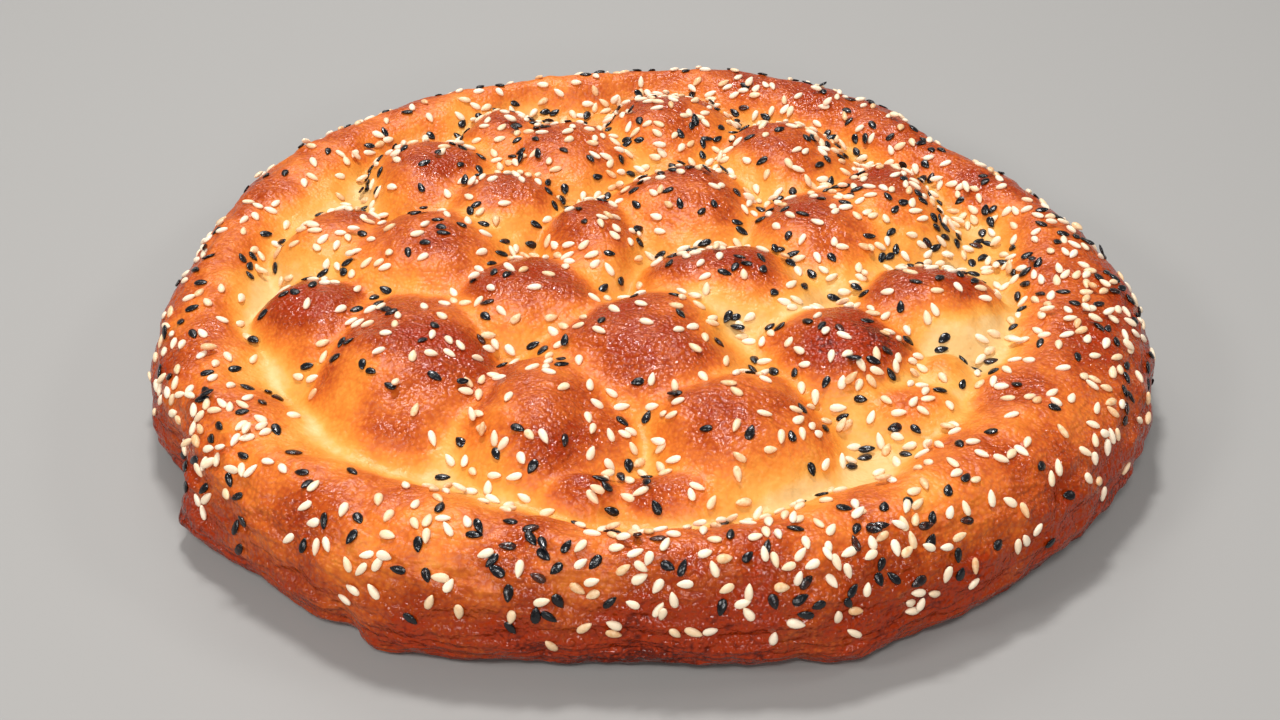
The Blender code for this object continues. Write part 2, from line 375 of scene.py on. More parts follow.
# %% [markdown]
# ## The crust, ring by ring
# A point of the crust is found from its heading and from how far along the way it lies: from the middle of
# the top, over the rim's crown, down the wall to the foot. Past the crown the way bends over a shoulder
# and in under the wall. The mesh is a disc of rings, in which each ring has six points more than the one
# inside it: so the triangles stay near one size everywhere, about a millimetre, and nothing is pinched in
# the middle. The underside closes the foot with ever fewer points.

# %% Points of the crust
RINGS = 167
CROWN_SHARE = 0.74  # how much of the way lies inside the rim's crown
# How much darker than the crown the crust gets down the wall: partly its browning, partly painted shade
# towards the foot
WALL_SHARES = (0.0, 0.3, 0.5, 0.7, 0.85, 1.0)
WALL_BAKES_AND_PAINTED_SHADE = (0.0, 0.11, 0.26, 0.36, 0.42, 0.47)


def down_wall(way):
    """How far a point lies down the wall, from the crown, 0, to the foot, 1."""
    return np.clip((way - CROWN_SHARE) / (1 - CROWN_SHARE), 0, 1)


def crust(heading, way):
    """Points of the crust with their browning, with painted shade down the wall, and how much each lies in a
    crease.
    """
    crown = crown_radius(heading)
    wall = wall_radius(heading)
    radius = crown * np.minimum(way / CROWN_SHARE, 1)
    flat = np.stack([radius * np.cos(heading), radius * np.sin(heading), np.zeros_like(radius)], axis=-1)
    shift_x = WANDER * wandering(flat, WANDER_SPACING, 1)
    shift_y = WANDER * wandering(flat, WANDER_SPACING, 2)
    height, bake, crease = top_of(flat[:, 0] + shift_x, flat[:, 1] + shift_y)
    past_crown = down_wall(way)
    turn = math.pi / 2 - past_crown * (math.pi / 2 + UNDERCUT_ANGLE)
    up = np.clip(turn, 0, None)
    down = np.clip(-turn, 0, None)
    shoulder = (wall - crown) * np.cos(up) ** SHOULDER_POWER
    undercut = FOOT_INSET * (1 - np.cos(down)) / (1 - math.cos(UNDERCUT_ANGLE))
    wall_height = BULGE + (height - BULGE) * np.sin(up) - BULGE * np.sin(down) / math.sin(UNDERCUT_ANGLE)
    outside = past_crown > 0
    radius = np.where(outside, crown + shoulder - undercut, radius)
    height = np.where(outside, wall_height, height)
    for middle, half_width, reach, level, half_height in WALL_LUMPS + BLISTERS:
        here = hump(height, level, half_height)
        radius = radius + np.where(outside, here * swell(heading, ((middle, half_width, reach),)), 0)
    # Darker down the wall: its browning, and painted shade towards the foot.
    bake = np.where(outside, bake + np.interp(past_crown, WALL_SHARES, WALL_BAKES_AND_PAINTED_SHADE), bake)
    return np.stack([radius * np.cos(heading), radius * np.sin(heading), height], axis=-1), bake, crease


# %% Triangles of a disc of rings, and of the underside
UNDERSIDE_COUNTS = (504, 252, 120, 60, 24, 6)
UNDERSIDE_BAKE = 0.8
LAST_STEP = 0.5  # how far the innermost ring of the underside stays off its middle, in steps


def ring_start(ring):
    """The index of a ring's first point. Ring 0 is the one in the middle, and ring k has 6k points."""
    return 1 + 3 * ring * (ring - 1)


def disc_faces(rings):
    faces = []
    for ring in range(1, rings + 1):
        outer_count = 6 * ring
        inner_count = max(6 * (ring - 1), 1)
        outer = ring_start(ring)
        inner = ring_start(ring - 1) if ring > 1 else 0
        for sixth in range(6):
            for step in range(ring):
                a = sixth * ring + step
                b = sixth * (ring - 1) + step
                near = inner + b % inner_count
                faces.append((near, outer + a, outer + (a + 1) % outer_count))
                if step < ring - 1:
                    faces.append((near, outer + (a + 1) % outer_count, inner + (b + 1) % inner_count))
    return faces


def band_faces(outer, outer_count, inner, inner_count):
    """Triangles between two rings of unequal counts, seen from below. Each step takes the ring that lags."""
    faces = []
    a = 0
    b = 0
    while a < outer_count or b < inner_count:
        far = outer + a % outer_count
        near = inner + b % inner_count
        if b == inner_count or (a < outer_count and (a + 1) / outer_count <= (b + 1) / inner_count):
            faces.append((near, outer + (a + 1) % outer_count, far))
            a += 1
        else:
            faces.append((near, inner + (b + 1) % inner_count, far))
            b += 1
    return faces


def build_crust():
    headings = [np.zeros(1)]
    ways = [np.zeros(1)]
    for ring in range(1, RINGS + 1):
        count = 6 * ring
        headings.append(np.arange(count) * math.tau / count)
        ways.append(np.full(count, ring / RINGS))
    headings = np.concatenate(headings)
    ways = np.concatenate(ways)
    points, bakes, creases = crust(headings, ways)
    foot = ring_start(RINGS)
    points[foot:, 2] = 0.0
    faces = disc_faces(RINGS)
    outer, outer_count = foot, 6 * RINGS
    for number, count in enumerate(UNDERSIDE_COUNTS):
        turn = np.arange(count) * math.tau / count
        share = 1 - (number + 1) / (len(UNDERSIDE_COUNTS) + LAST_STEP)
        foot_points = crust(turn, np.ones(count))[0]
        ring_points = foot_points * (share, share, 0)
        inner = len(points)
        points = np.concatenate([points, ring_points])
        headings = np.concatenate([headings, turn])
        ways = np.concatenate([ways, np.full(count, 2.0 - share)])
        bakes = np.concatenate([bakes, np.full(count, UNDERSIDE_BAKE)])
        creases = np.concatenate([creases, np.zeros(count)])
        faces += band_faces(outer, outer_count, inner, count)
        outer, outer_count = inner, count
    faces.append(tuple(range(len(points) - 1, outer - 1, -1)))
    return points, faces, headings, ways, bakes, creases


crust_points, crust_faces, crust_headings, crust_ways, crust_bakes, crust_creases = build_crust()
middle = (crust_points.min(axis=0) + crust_points.max(axis=0)) / 2
solid_middle = (np.array(bread_low) + np.array(bread_high)) / 2
to_frame = np.array([solid_middle[0] - middle[0], solid_middle[1] - middle[1], 0.0])
print(len(crust_points), "points,", len(crust_faces), "faces, moved by", np.round(to_frame * 1000, 2), "mm")

# %% [markdown]
# ## Attributes for the crust
# Relief and colour both need to know where on the loaf they are. Each point therefore carries a few
# values of its own: how brown it baked, with a few patches of painted sheen and the painted shade low on
# the wall in that same value, how wrinkled its skin is, how free it is to move, and a place along the
# dough's grain. The rim was stretched lengthways, so its wrinkles run round the loaf. In the grain,
# round the loaf is squeezed and across it is true, which draws a noise out into long wrinkles.

# %% The crust as a mesh with its attributes
GRAIN_SQUEEZE = 0.22  # how much shorter the way round the loaf is in the grain than in life
CRUST_WAY = 0.155  # the way over the crust from the middle of the top to the foot
FREE_FROM = 0.002  # below this height the relief fades out, so that the foot stays on the table
# Unevenness of the oven's heat: spacing of its waves and how much browner they make the crust
OVEN_WAVES = ((0.030, 0.055), (0.011, 0.035))
# How wrinkled the rim is from its crown, 0, down the wall to the foot, 1
WRINKLED_AT = (0.0, 0.2, 0.45, 0.7, 1.0)
WRINKLED = (0.15, 0.40, 1.0, 0.9, 0.5)
# Dark and light places of the browning, a few of them painted sheen and painted shade: x, y, half size,
# change
BAKE_AND_PAINTED_LIGHT_PATCHES = (
    (0.010, -0.078, 0.009, 0.12),
    (-0.016, -0.080, 0.008, 0.14),
    (-0.009, -0.115, 0.010, 0.12),
    (-0.048, -0.040, 0.008, 0.26),
    (-0.060, -0.066, 0.008, 0.10),
    (0.052, -0.032, 0.007, 0.06),
    (0.001, -0.036, 0.008, 0.12),
    # painted sheen: lighter on the front of a pillow at the front left
    (-0.063, -0.056, 0.008, -0.20),
    # painted sheen: lighter on the rim's top at the front right
    (0.067, -0.094, 0.009, -0.14),
    (0.034, -0.104, 0.012, -0.06),
    (-0.012, -0.071, 0.006, 0.10),
    (-0.001, -0.056, 0.007, 0.08),
    # painted shade: darker on the front of the rim's wall
    (0.0117, -0.1137, 0.011, 0.13),
    (-0.0260, -0.1140, 0.016, -0.03),
    (-0.0660, -0.1070, 0.018, -0.08),
    (-0.0182, -0.0805, 0.005, 0.10),
    (0.102, -0.016, 0.009, 0.07),
    (0.111, -0.055, 0.012, -0.08),
    (0.014, -0.026, 0.009, -0.42),
    (-0.036, -0.034, 0.006, -0.16),
    (-0.019, -0.034, 0.006, -0.10),
    (0.039, -0.024, 0.007, -0.42),
    (-0.041, 0.012, 0.006, -0.12),
    (0.074, -0.033, 0.009, -0.36),
    (0.030, -0.084, 0.006, -0.10),
)


def browning_and_painted_light(points, ways, bakes):
    """The browning with the unevenness of a real oven, and its patches, a few of which are painted sheen and
    painted shade.
    """
    for number, (spacing, change) in enumerate(OVEN_WAVES):
        bakes = bakes + change * wandering(points, spacing, 3 + number)
    for x, y, half, change in BAKE_AND_PAINTED_LIGHT_PATCHES:
        away = np.hypot(points[:, 0] - x, points[:, 1] - y)
        bakes = bakes + np.where(ways < 1, change * hump(away, 0, half), 0)
    return np.clip(bakes, 0, 1)


def wrinkling(points, ways):
    """How wrinkled the skin is: 0 among the pillows, a little on the rim's crown and 1 on its wall."""
    heading = np.arctan2(points[:, 1], points[:, 0])
    radius = np.hypot(points[:, 0], points[:, 1])
    ring = ring_radius(heading)
    to_crown = np.clip((radius - ring) / (crown_radius(heading) - ring), 0, 1)
    return np.interp(down_wall(ways), WRINKLED_AT, WRINKLED) * to_crown**2


def grain(points, headings, ways):
    """A place in the dough in which one unit round the loaf counts less than one unit across it."""
    round_way = WALL_RADIUS * GRAIN_SQUEEZE
    return np.stack([round_way * np.cos(headings), round_way * np.sin(headings), ways * CRUST_WAY], axis=-1)


def add_values(mesh, name, values):
    kind = "FLOAT_VECTOR" if values.ndim == 2 else "FLOAT"
    field = "vector" if values.ndim == 2 else "value"
    mesh.attributes.new(name, kind, "POINT").data.foreach_set(field, values.astype(np.float32).ravel())


crust_mesh = bpy.data.meshes.new("crust")
crust_mesh.from_pydata((crust_points + to_frame).tolist(), [], crust_faces)
crust_mesh.shade_smooth()
# The browning also carries a few patches of painted sheen and the painted shade down the wall.
add_values(crust_mesh, "bake", browning_and_painted_light(crust_points, crust_ways, crust_bakes))
add_values(crust_mesh, "wrinkled", wrinkling(crust_points, crust_ways))
add_values(crust_mesh, "grain", grain(crust_points, crust_headings, crust_ways))
add_values(crust_mesh, "free", np.clip(crust_points[:, 2] / FREE_FROM, 0, 1) * (crust_ways < 1))
bread = show(bpy.data.objects.new("seeded_crust", crust_mesh))
print("browning runs from", round(float(crust_bakes.min()), 2), "to", round(float(crust_bakes.max()), 2))

# %% [markdown]
# ## Relief of the skin
# As it bakes, the skin sets before the crumb stops rising, so it puckers: long wrinkles along the stretched
# rim, low humps and lumps everywhere. All of it follows rules over the surface, so Geometry Nodes make it:
# noises read each point's own place or grain, and Set Position moves the point along its normal. The sizes
# are the tree's inputs, and the underside stays flat, because the attribute `free` is 0 there. What is
# finer than the mesh, such as the crinkles of the pillow tops, comes later as the material's bump.

# %% The relief tree
RELIEF_INPUTS = (
    ("Hump height", 0.0010),
    ("Hump spacing", 0.020),
    ("Lump height", 0.0010),
    ("Lump spacing", 0.0070),
    ("Wrinkle height", 0.0020),
    ("Wrinkle spacing", 0.0036),
)
WRINKLE_DETAIL = 2.0
NOISE_REACH = 2.0  # brings a noise, which mostly stays within half a unit, to its full height


def new_tree(name, inputs):
    """A Geometry Nodes tree with these named sizes, and the sockets that give them."""
    tree = bpy.data.node_groups.new(name, "GeometryNodeTree")
    tree.interface.new_socket("Geometry", in_out="INPUT", socket_type="NodeSocketGeometry")
    tree.interface.new_socket("Geometry", in_out="OUTPUT", socket_type="NodeSocketGeometry")
    for label, value in inputs:
        whole = isinstance(value, int)
        socket = tree.interface.new_socket(
            label, in_out="INPUT", socket_type="NodeSocketInt" if whole else "NodeSocketFloat"
        )
        socket.default_value = value
    return tree, {socket.name: socket for socket in tree.nodes.new("NodeGroupInput").outputs}


def place_node(tree, kind, settings=None, **links):
    """Adds a node. Each link goes to the input of that number or name, from a socket or a plain value."""
    node = tree.nodes.new(kind)
    for name, value in (settings or {}).items():
        setattr(node, name, value)
    for name, source in links.items():
        target = node.inputs[int(name[1:])] if name[1:].isdigit() else node.inputs[name.replace("_", " ")]
        if isinstance(source, bpy.types.NodeSocket):
            tree.links.new(source, target)
        else:
            target.default_value = source
    return node


def math_node(tree, operation, *values):
    links = {f"i{number}": value for number, value in enumerate(values)}
    return place_node(tree, "ShaderNodeMath", {"operation": operation}, **links).outputs[0]


def times(tree, one, other):
    return math_node(tree, "MULTIPLY", one, other)


def plus(tree, one, other):
    return math_node(tree, "ADD", one, other)


def minus(tree, one, other):
    return math_node(tree, "SUBTRACT", one, other)


def read_values(tree, name, kind="FLOAT"):
    return place_node(tree, "GeometryNodeInputNamedAttribute", {"data_type": kind}, Name=name).outputs[0]


def centred_noise(tree, place, spacing, detail=1.0):
    """A noise from about -0.5 to 0.5 whose humps lie one spacing apart."""
    scale = math_node(tree, "DIVIDE", 1.0, spacing)
    noise = place_node(tree, "ShaderNodeTexNoise", Vector=place, Scale=scale, Detail=detail)
    return minus(tree, noise.outputs[0], 0.5)


def vector_node(tree, operation, **links):
    return place_node(tree, "ShaderNodeVectorMath", {"operation": operation}, **links).outputs[0]


def finish_tree(tree, geometry, material):
    """Realizes what the tree made, gives it its material and hands it out."""
    realized = place_node(tree, "GeometryNodeRealizeInstances", Geometry=geometry)
    finish = place_node(tree, "GeometryNodeSetMaterial", Geometry=realized.outputs[0], Material=material)
    tree.links.new(finish.outputs[0], tree.nodes.new("NodeGroupOutput").inputs[0])
    return tree


def build_relief_tree():
    tree, sizes = new_tree("skin_relief", RELIEF_INPUTS)
    place = tree.nodes.new("GeometryNodeInputPosition").outputs[0]
    along_grain = read_values(tree, "grain", "FLOAT_VECTOR")
    humps = times(tree, centred_noise(tree, place, sizes["Hump spacing"]), sizes["Hump height"])
    lumps = times(tree, centred_noise(tree, place, sizes["Lump spacing"]), sizes["Lump height"])
    wrinkle = centred_noise(tree, along_grain, sizes["Wrinkle spacing"], WRINKLE_DETAIL)
    wrinkles = times(tree, wrinkle, sizes["Wrinkle height"])
    on_wall = times(tree, wrinkles, read_values(tree, "wrinkled"))
    total = plus(tree, plus(tree, humps, lumps), on_wall)
    reach = times(tree, times(tree, total, read_values(tree, "free")), NOISE_REACH)
    normal = tree.nodes.new("GeometryNodeInputNormal").outputs[0]
    push = vector_node(tree, "SCALE", i0=normal, Scale=reach)
    moved = place_node(tree, "GeometryNodeSetPosition", Geometry=sizes["Geometry"], Offset=push)
    return finish_tree(tree, moved.outputs[0], crust_material)


def apply_tree(thing, tree, **sizes):
    """Runs the tree on the object, keeps its result as the object's plain mesh and drops the modifier."""
    modifier = thing.modifiers.new(tree.name, "NODES")
    modifier.node_group = tree
    for item in tree.interface.items_tree:
        if item.in_out == "INPUT" and item.name in sizes:
            modifier[item.identifier] = sizes[item.name]
    bpy.context.view_layer.update()
    result = bpy.data.meshes.new_from_object(thing.evaluated_get(bpy.context.evaluated_depsgraph_get()))
    thing.modifiers.remove(modifier)
    thing.data = result


# %% [markdown]
# ## Colours as screen values
# Colours are judged as screen values, but shaders mix light, which needs linear values. One small
# function turns the first into the second.

# %% From a screen colour to a linear one
def linear(red, green, blue):
    """A colour given as 0 to 255 on screen, as the linear RGBA of a shader."""
    parts = [part / 255 for part in (red, green, blue)]
    bent = [part / 12.92 if part <= 0.04045 else ((part + 0.055) / 1.055) ** 2.4 for part in parts]
    return (*bent, 1.0)


# %% [markdown]
# ## One speckle for every material
# Crust and seeds are all speckled and finely pitted, only at other sizes. So the noise is a node group with
# named inputs, built once, and each material places it with its own spacing and depth. It puts out a value
# round 0, which can shift a colour as well as raise a bump.

# %% The speckle group
def new_group(name, *inputs):
    """A shader node group with these named inputs and one value out, and its input node's sockets."""
    group = bpy.data.node_groups.new(name, "ShaderNodeTree")
    for label in inputs:
        kind = "NodeSocketVector" if label == "Place" else "NodeSocketFloat"
        group.interface.new_socket(label, in_out="INPUT", socket_type=kind)
    group.interface.new_socket("Value", in_out="OUTPUT", socket_type="NodeSocketFloat")
    given = {socket.name: socket for socket in group.nodes.new("NodeGroupInput").outputs}
    return group, given


def put_out(group, value):
    group.links.new(value, group.nodes.new("NodeGroupOutput").inputs["Value"])
    return group


def build_speckle_group():
    group, given = new_group("speckle", "Place", "Spacing", "Detail", "Depth")
    noise = centred_noise(group, given["Place"], given["Spacing"], given["Detail"])
    return put_out(group, times(group, noise, given["Depth"]))


def place_group(tree, group, **inputs):
    return place_node(tree, "ShaderNodeGroup", {"node_tree": group}, **inputs).outputs["Value"]


def speckle(tree, place, spacing, detail, depth):
    return place_group(tree, speckle_group, Place=place, Spacing=spacing, Detail=detail, Depth=depth)


speckle_group = build_speckle_group()
print("speckle group with", len(speckle_group.nodes), "nodes")

# %% [markdown]
# ## The glazed crust
# One ramp turns browning into colour, from pressed cream dough over gold and orange to the red-brown of the
# wall, whose darkest part low on the wall is partly painted shade; a few patches of the browning are painted
# sheen. A fine noise makes it speckled, as it is where tiny bubbles lie under the skin, and rounded cells
# add a painted highlight on each crinkle and painted shade in its creases. A bump carries what is finer than
# the mesh: the crinkled skin of the pillow tops and the hair-fine wrinkles along the wall. The egg wash
# dried glossy where the crust browned and satin where it stayed pale, so the roughness follows the browning
# too.

# %% The crust material
# The darkest stops colour the lower wall, whose darkness is partly painted shade.
CRUST_RAMP = (
    (0.00, (222, 180, 116)),
    (0.16, (224, 158, 72)),
    (0.32, (220, 134, 46)),
    (0.46, (208, 106, 30)),
    (0.60, (180, 77, 22)),
    (0.74, (150, 51, 10)),
    (0.87, (156, 44, 3)),
    (1.00, (98, 22, 1)),
)
CELL_SPACING = 0.0010
CELL_DEPTH = 0.00042
CELL_MIDDLE = 0.45  # the cells' common distance, at which their painted light and shade change nothing
CELL_PAINTED_SHADE = 0.32  # how much darker a cell's edge is painted than its middle: painted shade in the crinkles' creases and a painted highlight on each crinkle
CELL_ROUNDING = 0.5
WARP = 0.0009  # how far the cells are pulled out of shape
WARP_SPACING = 0.0020
CRINKLE_SPACING = 0.0013
CRINKLE_DEPTH = 0.00065
FINE_WRINKLE_SPACING = 0.0018
FINE_WRINKLE_DEPTH = 0.0014
FINE_WRINKLE_DETAIL = 1.5
SATIN_BAKE = 0.48  # up to this browning the wash dried satin and the skin stayed smooth
GLOSSY_BAKE = 0.68  # from this browning on it is glossy and crinkled
SATIN_ROUGHNESS = 0.42
GLOSSY_ROUGHNESS = 0.17
SATIN_CRINKLE = 0.30  # share of the crinkle that the smooth skin keeps
SPECKLE_SPACING = 0.0024
SPECKLE_DEPTH = 0.24
SPECKLE_DETAIL = 4.0
CRUST_SPECULAR = 0.34  # a dried wash mirrors less than the common half
CRUST_IOR = 1.45


def fill_ramp(node, stops):
    ramp = node.color_ramp
    while len(ramp.elements) < len(stops):
        ramp.elements.new(0.5)
    for element, (position, colour) in zip(ramp.elements, stops):
        element.position = position
        element.color = linear(*colour)


def shader_values(tree, name, output="Fac"):
    return place_node(tree, "ShaderNodeAttribute", {"attribute_name": name}).outputs[output]


def map_range(tree, value, kind="LINEAR", **limits):
    """Takes the value from one pair of limits to another. Those not given are 0 and 1."""
    node = place_node(tree, "ShaderNodeMapRange", {"interpolation_type": kind}, Value=value, **limits)
    return node.outputs["Result"]


def bump_by(tree, height, shader):
    bump = place_node(tree, "ShaderNodeBump", Height=height, Strength=1.0, Distance=1.0)
    tree.links.new(bump.outputs["Normal"], shader["Normal"])


def colour_by(tree, value, stops, shader):
    ramp = place_node(tree, "ShaderNodeValToRGB", Fac=value)
    fill_ramp(ramp, stops)
    tree.links.new(ramp.outputs["Color"], shader["Base Color"])


def make_crust_material():
    material, tree, shader = new_material("glazed_crust")
    shader["Specular IOR Level"].default_value = CRUST_SPECULAR
    shader["IOR"].default_value = CRUST_IOR
    place = tree.nodes.new("ShaderNodeTexCoord").outputs["Object"]
    along_grain = shader_values(tree, "grain", "Vector")
    bake = shader_values(tree, "bake")
    drift = place_node(tree, "ShaderNodeTexNoise", Vector=place, Scale=1 / WARP_SPACING).outputs["Color"]
    pull = vector_node(tree, "SCALE", i0=drift, Scale=WARP)
    warped = vector_node(tree, "ADD", i0=place, i1=pull)
    cell = place_node(
        tree,
        "ShaderNodeTexVoronoi",
        {"feature": "SMOOTH_F1"},
        Vector=warped,
        Scale=1 / CELL_SPACING,
        Smoothness=CELL_ROUNDING,
    ).outputs["Distance"]
    spotted = plus(tree, bake, speckle(tree, place, SPECKLE_SPACING, SPECKLE_DETAIL, SPECKLE_DEPTH))
    # Cell middles are painted lighter and cell edges darker: a painted highlight on each crinkle and painted
    # shade in its creases, stronger where the crust is browner.
    crinkle_painted_light = times(tree, minus(tree, cell, CELL_MIDDLE), CELL_PAINTED_SHADE)
    colour_by(tree, plus(tree, spotted, times(tree, crinkle_painted_light, bake)), CRUST_RAMP, shader)
    fine = speckle(tree, along_grain, FINE_WRINKLE_SPACING, FINE_WRINKLE_DETAIL, FINE_WRINKLE_DEPTH)
    cells = times(tree, times(tree, cell, bake), -CELL_DEPTH)
    browned = map_range(tree, bake, "SMOOTHSTEP", From_Min=SATIN_BAKE, From_Max=GLOSSY_BAKE)
    deep = map_range(tree, browned, To_Min=CRINKLE_DEPTH * SATIN_CRINKLE, To_Max=CRINKLE_DEPTH)
    crinkled = speckle(tree, place, CRINKLE_SPACING, 1.0, deep)
    wrinkled = times(tree, fine, shader_values(tree, "wrinkled"))
    bump_by(tree, plus(tree, plus(tree, crinkled, cells), wrinkled), shader)
    gloss = map_range(tree, browned, To_Min=SATIN_ROUGHNESS, To_Max=GLOSSY_ROUGHNESS)
    tree.links.new(gloss, shader["Roughness"])
    return material


crust_material = make_crust_material()
apply_tree(bread, build_relief_tree())
print("skin done:", len(bread.data.vertices), "points,", len(bread.data.polygons), "faces")

# %% [markdown]
# ## Where the seeds fell
# Sesame is strewn by hand, so it lies in drifts: thick in the grooves it rolled into, along the rim's
# outer shoulder and on the side that the baker strewed last, thin on the pillow tops. Seeds are drawn one
# after the other over the crust with that richness. Where one would land on another it is mostly left
# out, and now and then it comes to rest on top.

# %% Richness of the seeding
WHITE_SEEDS = 1400
BLACK_SEEDS = 640
SEED_LENGTH = 0.0035
SEED_WIDTH = 0.0019
PILED_SHARE = 0.35  # how many of those that land on another one stay there
TOUCHING = 0.92  # nearer than this share of their summed half sizes, one seed lies on the other
CROSSING = 0.5  # nearer than this it would balance on it, and rolls off
CREASE_SEEDS = (0.9, 1.6)  # how much richer a crease between pillows is in white and in black seeds
# Places across the rim count outward from its crown, 0, to the wall, 1. Inward they are negative.
PILLOWS_END = -0.2
ON_RIM = 0.6
AMONG_PILLOWS = 0.7
SHOULDER_SEEDS = (0.8, 0.45, 0.3)  # how much richer the rim's shoulder is, its place and its half width
GROOVE_BARE = (0.8, -0.75, 0.35)  # what the front-left groove lacks, out of the strewing hand's reach
CROWN_BARE = (0.6, -0.1, 0.15)  # what the inside of the crown lacks there
RIGHT_HEADING = 20  # the side that was strewn last
RIGHT_SEEDS = (0.75, 0.4)  # the seeding away from that side, and how much more it is there
LEFT_HEADING = 245
# How the seeding changes from front to back: its value in the middle, over how far it changes by 1, limits
RIM_BACKWARD = (1.0, -0.25, 0.6, 0.95)
PILLOWS_BACKWARD = (1.15, 0.13, 0.85, 1.8)
LOWEST_SEED = 0.005
SEEDED_RISE = 0.015  # over this rise the wall's seeding grows to its full richness
SEEDED_POWER = 2.2
# x, y, half size, how many times richer in white seeds and in black ones
SEED_DRIFTS = (
    (-0.097, -0.068, 0.009, 3.0, 4.0),
    (-0.110, -0.045, 0.009, 1.5, 0.5),
    (-0.043, -0.098, 0.010, 0.6, 0.3),
    (-0.085, -0.095, 0.010, -0.8, 0.6),
    (-0.071, -0.075, 0.008, -0.6, 0.0),
    (-0.006, -0.088, 0.005, 0.3, 4.0),
    (-0.031, -0.078, 0.009, 2.0, 0.4),
    (0.000, -0.069, 0.006, 2.0, 0.3),
    (-0.024, -0.113, 0.004, 0.3, 6.0),
    (0.001, -0.107, 0.008, 3.2, 0.8),
    (0.024, -0.106, 0.008, 2.2, 0.4),
    (0.047, -0.105, 0.011, 1.6, 0.8),
    (0.040, -0.113, 0.007, 0.3, 2.5),
    (0.055, -0.057, 0.009, 2.0, 3.0),
    (0.084, 0.022, 0.010, 0.6, 3.0),
    (0.113, -0.010, 0.014, 1.5, 1.5),
)


def facing(heading, degrees):
    """1 on the side of the loaf that faces this heading, 0 on the far side."""
    return 0.5 + 0.5 * np.cos(heading - math.radians(degrees))


def backward(y, in_middle, change_over, least, most):
    return np.clip(in_middle + y / change_over, least, most)


def seed_richness(points, creases, kind):
    """How many times richer than common the seeding is at these points, for kind 0, white, or 1, black."""
    x, y, height = points.T
    heading = np.arctan2(y, x)
    outward = (np.hypot(x, y) - crown_radius(heading)) / (wall_radius(heading) - crown_radius(heading))

    def across(change, middle, half):
        return change * hump(outward, middle, half)

    left = facing(heading, LEFT_HEADING)
    on_rim = (ON_RIM + across(*SHOULDER_SEEDS)) * backward(y, *RIM_BACKWARD)
    among_pillows = AMONG_PILLOWS + CREASE_SEEDS[kind] * creases
    among_pillows = among_pillows * (1 - across(*GROOVE_BARE) * left)
    among_pillows = among_pillows * backward(y, *PILLOWS_BACKWARD)
    richness = np.where(outward > PILLOWS_END, on_rim, among_pillows) * (1 - across(*CROWN_BARE) * left)
    common, more = RIGHT_SEEDS
    richness = richness * (common + more * facing(heading, RIGHT_HEADING))
    for drift_x, drift_y, half, *richer in SEED_DRIFTS:
        richness = richness + richer[kind] * hump(np.hypot(x - drift_x, y - drift_y), 0, half)
    low = np.clip((height - LOWEST_SEED) / SEEDED_RISE, 0, 1)
    return np.maximum(richness, 0) * low**SEEDED_POWER


# %% Draw the seeds one by one
TINY = 1e-9  # keeps a division by a length from failing where it is 0
Seed = namedtuple("Seed", "spot out along across kind lift")


def half_reach(direction, along, across):
    """Half a seed's size in a direction that lies in its plane."""
    a = direction @ along / (SEED_LENGTH / 2)
    b = direction @ across / (SEED_WIDTH / 2)
    return 1 / math.sqrt(a * a + b * b + TINY**2)


def strew(mesh, counts, draw):
    """Places, normals and long axes of the seeds, with the kind of each and whether it lies on another."""
    corners = np.array([polygon.vertices[:] for polygon in mesh.polygons if len(polygon.vertices) == 3])
    points = np.array([vertex.co for vertex in mesh.vertices])
    normals = np.array([normal.vector for normal in mesh.vertex_normals])
    triangles = points[corners]
    sides = np.cross(triangles[:, 1] - triangles[:, 0], triangles[:, 2] - triangles[:, 0])
    areas = np.linalg.norm(sides, axis=1) / 2
    richness = [seed_richness(points - to_frame, crust_creases, kind) for kind in (0, 1)]
    chances = [areas * rich[corners].mean(axis=1) for rich in richness]
    chances = [chance / chance.sum() for chance in chances]
    left = list(counts)
    seeds = []
    spots = np.empty((sum(counts), 3))
    while sum(left):
        kind = int(draw.random() < left[1] / sum(left))
        face = draw.choice(len(corners), p=chances[kind])
        weights = draw.dirichlet((1, 1, 1))
        spot = weights @ triangles[face]
        out = weights @ normals[corners[face]]
        out /= np.linalg.norm(out)
        along = draw.normal(size=3)
        along -= out * (along @ out)
        along /= np.linalg.norm(along)
        across = np.cross(out, along)
        gaps = spots[: len(seeds)] - spot
        near = np.flatnonzero((gaps**2).sum(axis=1) < SEED_LENGTH**2)
        under = []
        crossed = False
        for index in near:
            gap = gaps[index] - out * (gaps[index] @ out)
            apart = np.linalg.norm(gap) + TINY
            other = seeds[index]
            way = gap / apart
            touching = half_reach(way, along, across) + half_reach(way, other.along, other.across)
            if apart < TOUCHING * touching:
                under.append(index)
            crossed = crossed or apart < CROSSING * touching
        lift = 0
        if under:
            if len(under) > 1 or crossed or seeds[under[0]].lift or draw.random() > PILED_SHARE:
                continue
            lift = 1
        spots[len(seeds)] = spot
        seeds.append(Seed(spot, out, along, across, kind, lift))
        left[kind] -= 1
    return seeds


seeds = strew(bread.data, (WHITE_SEEDS, BLACK_SEEDS), np.random.default_rng(DRAW))
print(len(seeds), "seeds,", sum(seed.lift for seed in seeds), "of them lie on another")

# %% [markdown]
# ## One seed, many times
# A sesame seed is a flat drop: round at one end, pointed at the other. The black ones are dried flatter,
# with a raised edge round a shallow dish. One tree makes both: it shapes a small sphere into the drop
# by its sizes, sets one on each point with the point's own axes, and varies size and shade at random
# with a fixed seed.

